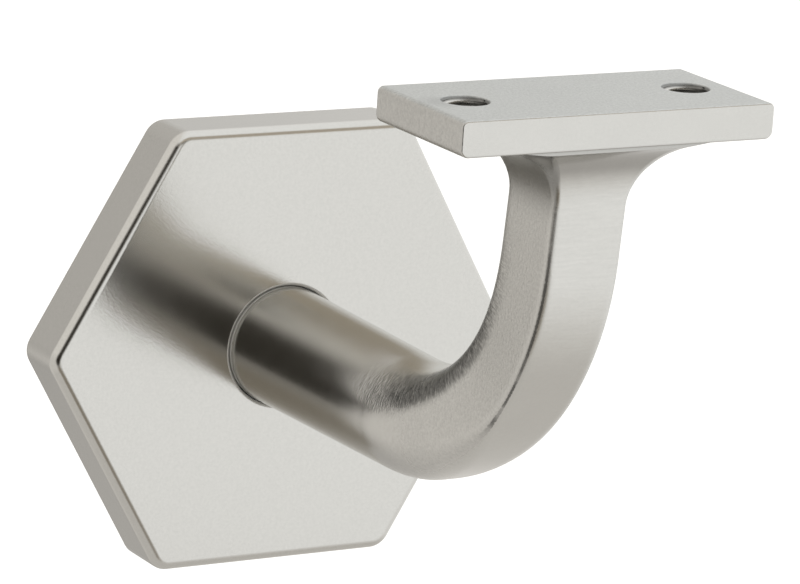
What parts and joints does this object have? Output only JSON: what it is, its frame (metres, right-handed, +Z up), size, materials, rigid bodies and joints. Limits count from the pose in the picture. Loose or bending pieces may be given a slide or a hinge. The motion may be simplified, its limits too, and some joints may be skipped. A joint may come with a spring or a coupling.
{
  "type": "handrail bracket",
  "caption": "Wall bracket for a handrail: a hexagonal cover, a round stem that bends up into a flat-sided riser, and a flat saddle plate with threaded screw holes.",
  "frame": {"origin": "centre of the face that lies on the wall, on the stem's centre line", "axes": "+X along the wall, +Y into the wall so the bracket stands out toward -Y, +Z up toward the rail"},
  "size_m": [0.0798, 0.1004, 0.092],
  "materials": {
    "satin_nickel": "satin nickel, blasted or finely brushed",
    "zinc_steel": "bright zinc plate"
  },
  "bodies": {
    "root": {"arm": "satin_nickel", "cover": "satin_nickel", "wall_plate": "zinc_steel", "arm_screw": "zinc_steel", "locating_pins": "zinc_steel", "cover_set_screw": "zinc_steel"}
  },
  "joints": []
}
